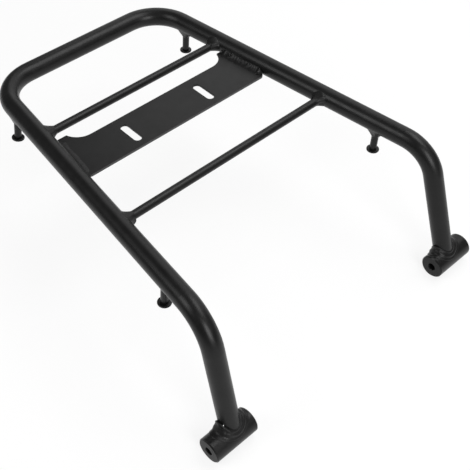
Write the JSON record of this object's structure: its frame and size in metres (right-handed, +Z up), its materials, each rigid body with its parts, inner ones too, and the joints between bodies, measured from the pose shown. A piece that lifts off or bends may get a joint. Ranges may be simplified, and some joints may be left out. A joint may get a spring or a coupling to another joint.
{
  "type": "motorcycle luggage rack",
  "caption": "Welded tubular luggage rack for a motorcycle tail, with a tapering loop deck, crossbars, slotted mounting plate, tie-down pegs and legs that end in bored bosses.",
  "frame": {"origin": "midway between the two bosses, on the bore axis that they share", "axes": "+X along the bosses' bores to the picture's right, +Y to the rear loop, +Z up from the level deck"},
  "size_m": [0.3994, 0.4755, 0.162],
  "materials": {
    "powder_coat": "satin black powder coat",
    "weld_metal": "weld bead under the same satin black powder coat"
  },
  "bodies": {
    "root": {"front_bar_left_weld": "weld_metal", "front_bar_right_weld": "weld_metal", "front_crossbar": "powder_coat", "front_left_peg": "powder_coat", "front_left_peg_weld": "weld_metal", "front_right_peg": "powder_coat", "front_right_peg_weld": "weld_metal", "left_boss": "powder_coat", "left_boss_weld": "weld_metal", "main_tube": "powder_coat", "mounting_plate": "powder_coat", "plate_left_weld": "weld_metal", "plate_right_weld": "weld_metal", "rear_bar_left_weld": "weld_metal", "rear_bar_right_weld": "weld_metal", "rear_crossbar": "powder_coat", "rear_left_peg": "powder_coat", "rear_left_peg_weld": "weld_metal", "rear_right_peg": "powder_coat", "rear_right_peg_weld": "weld_metal", "right_boss": "powder_coat", "right_boss_weld": "weld_metal"}
  },
  "joints": []
}
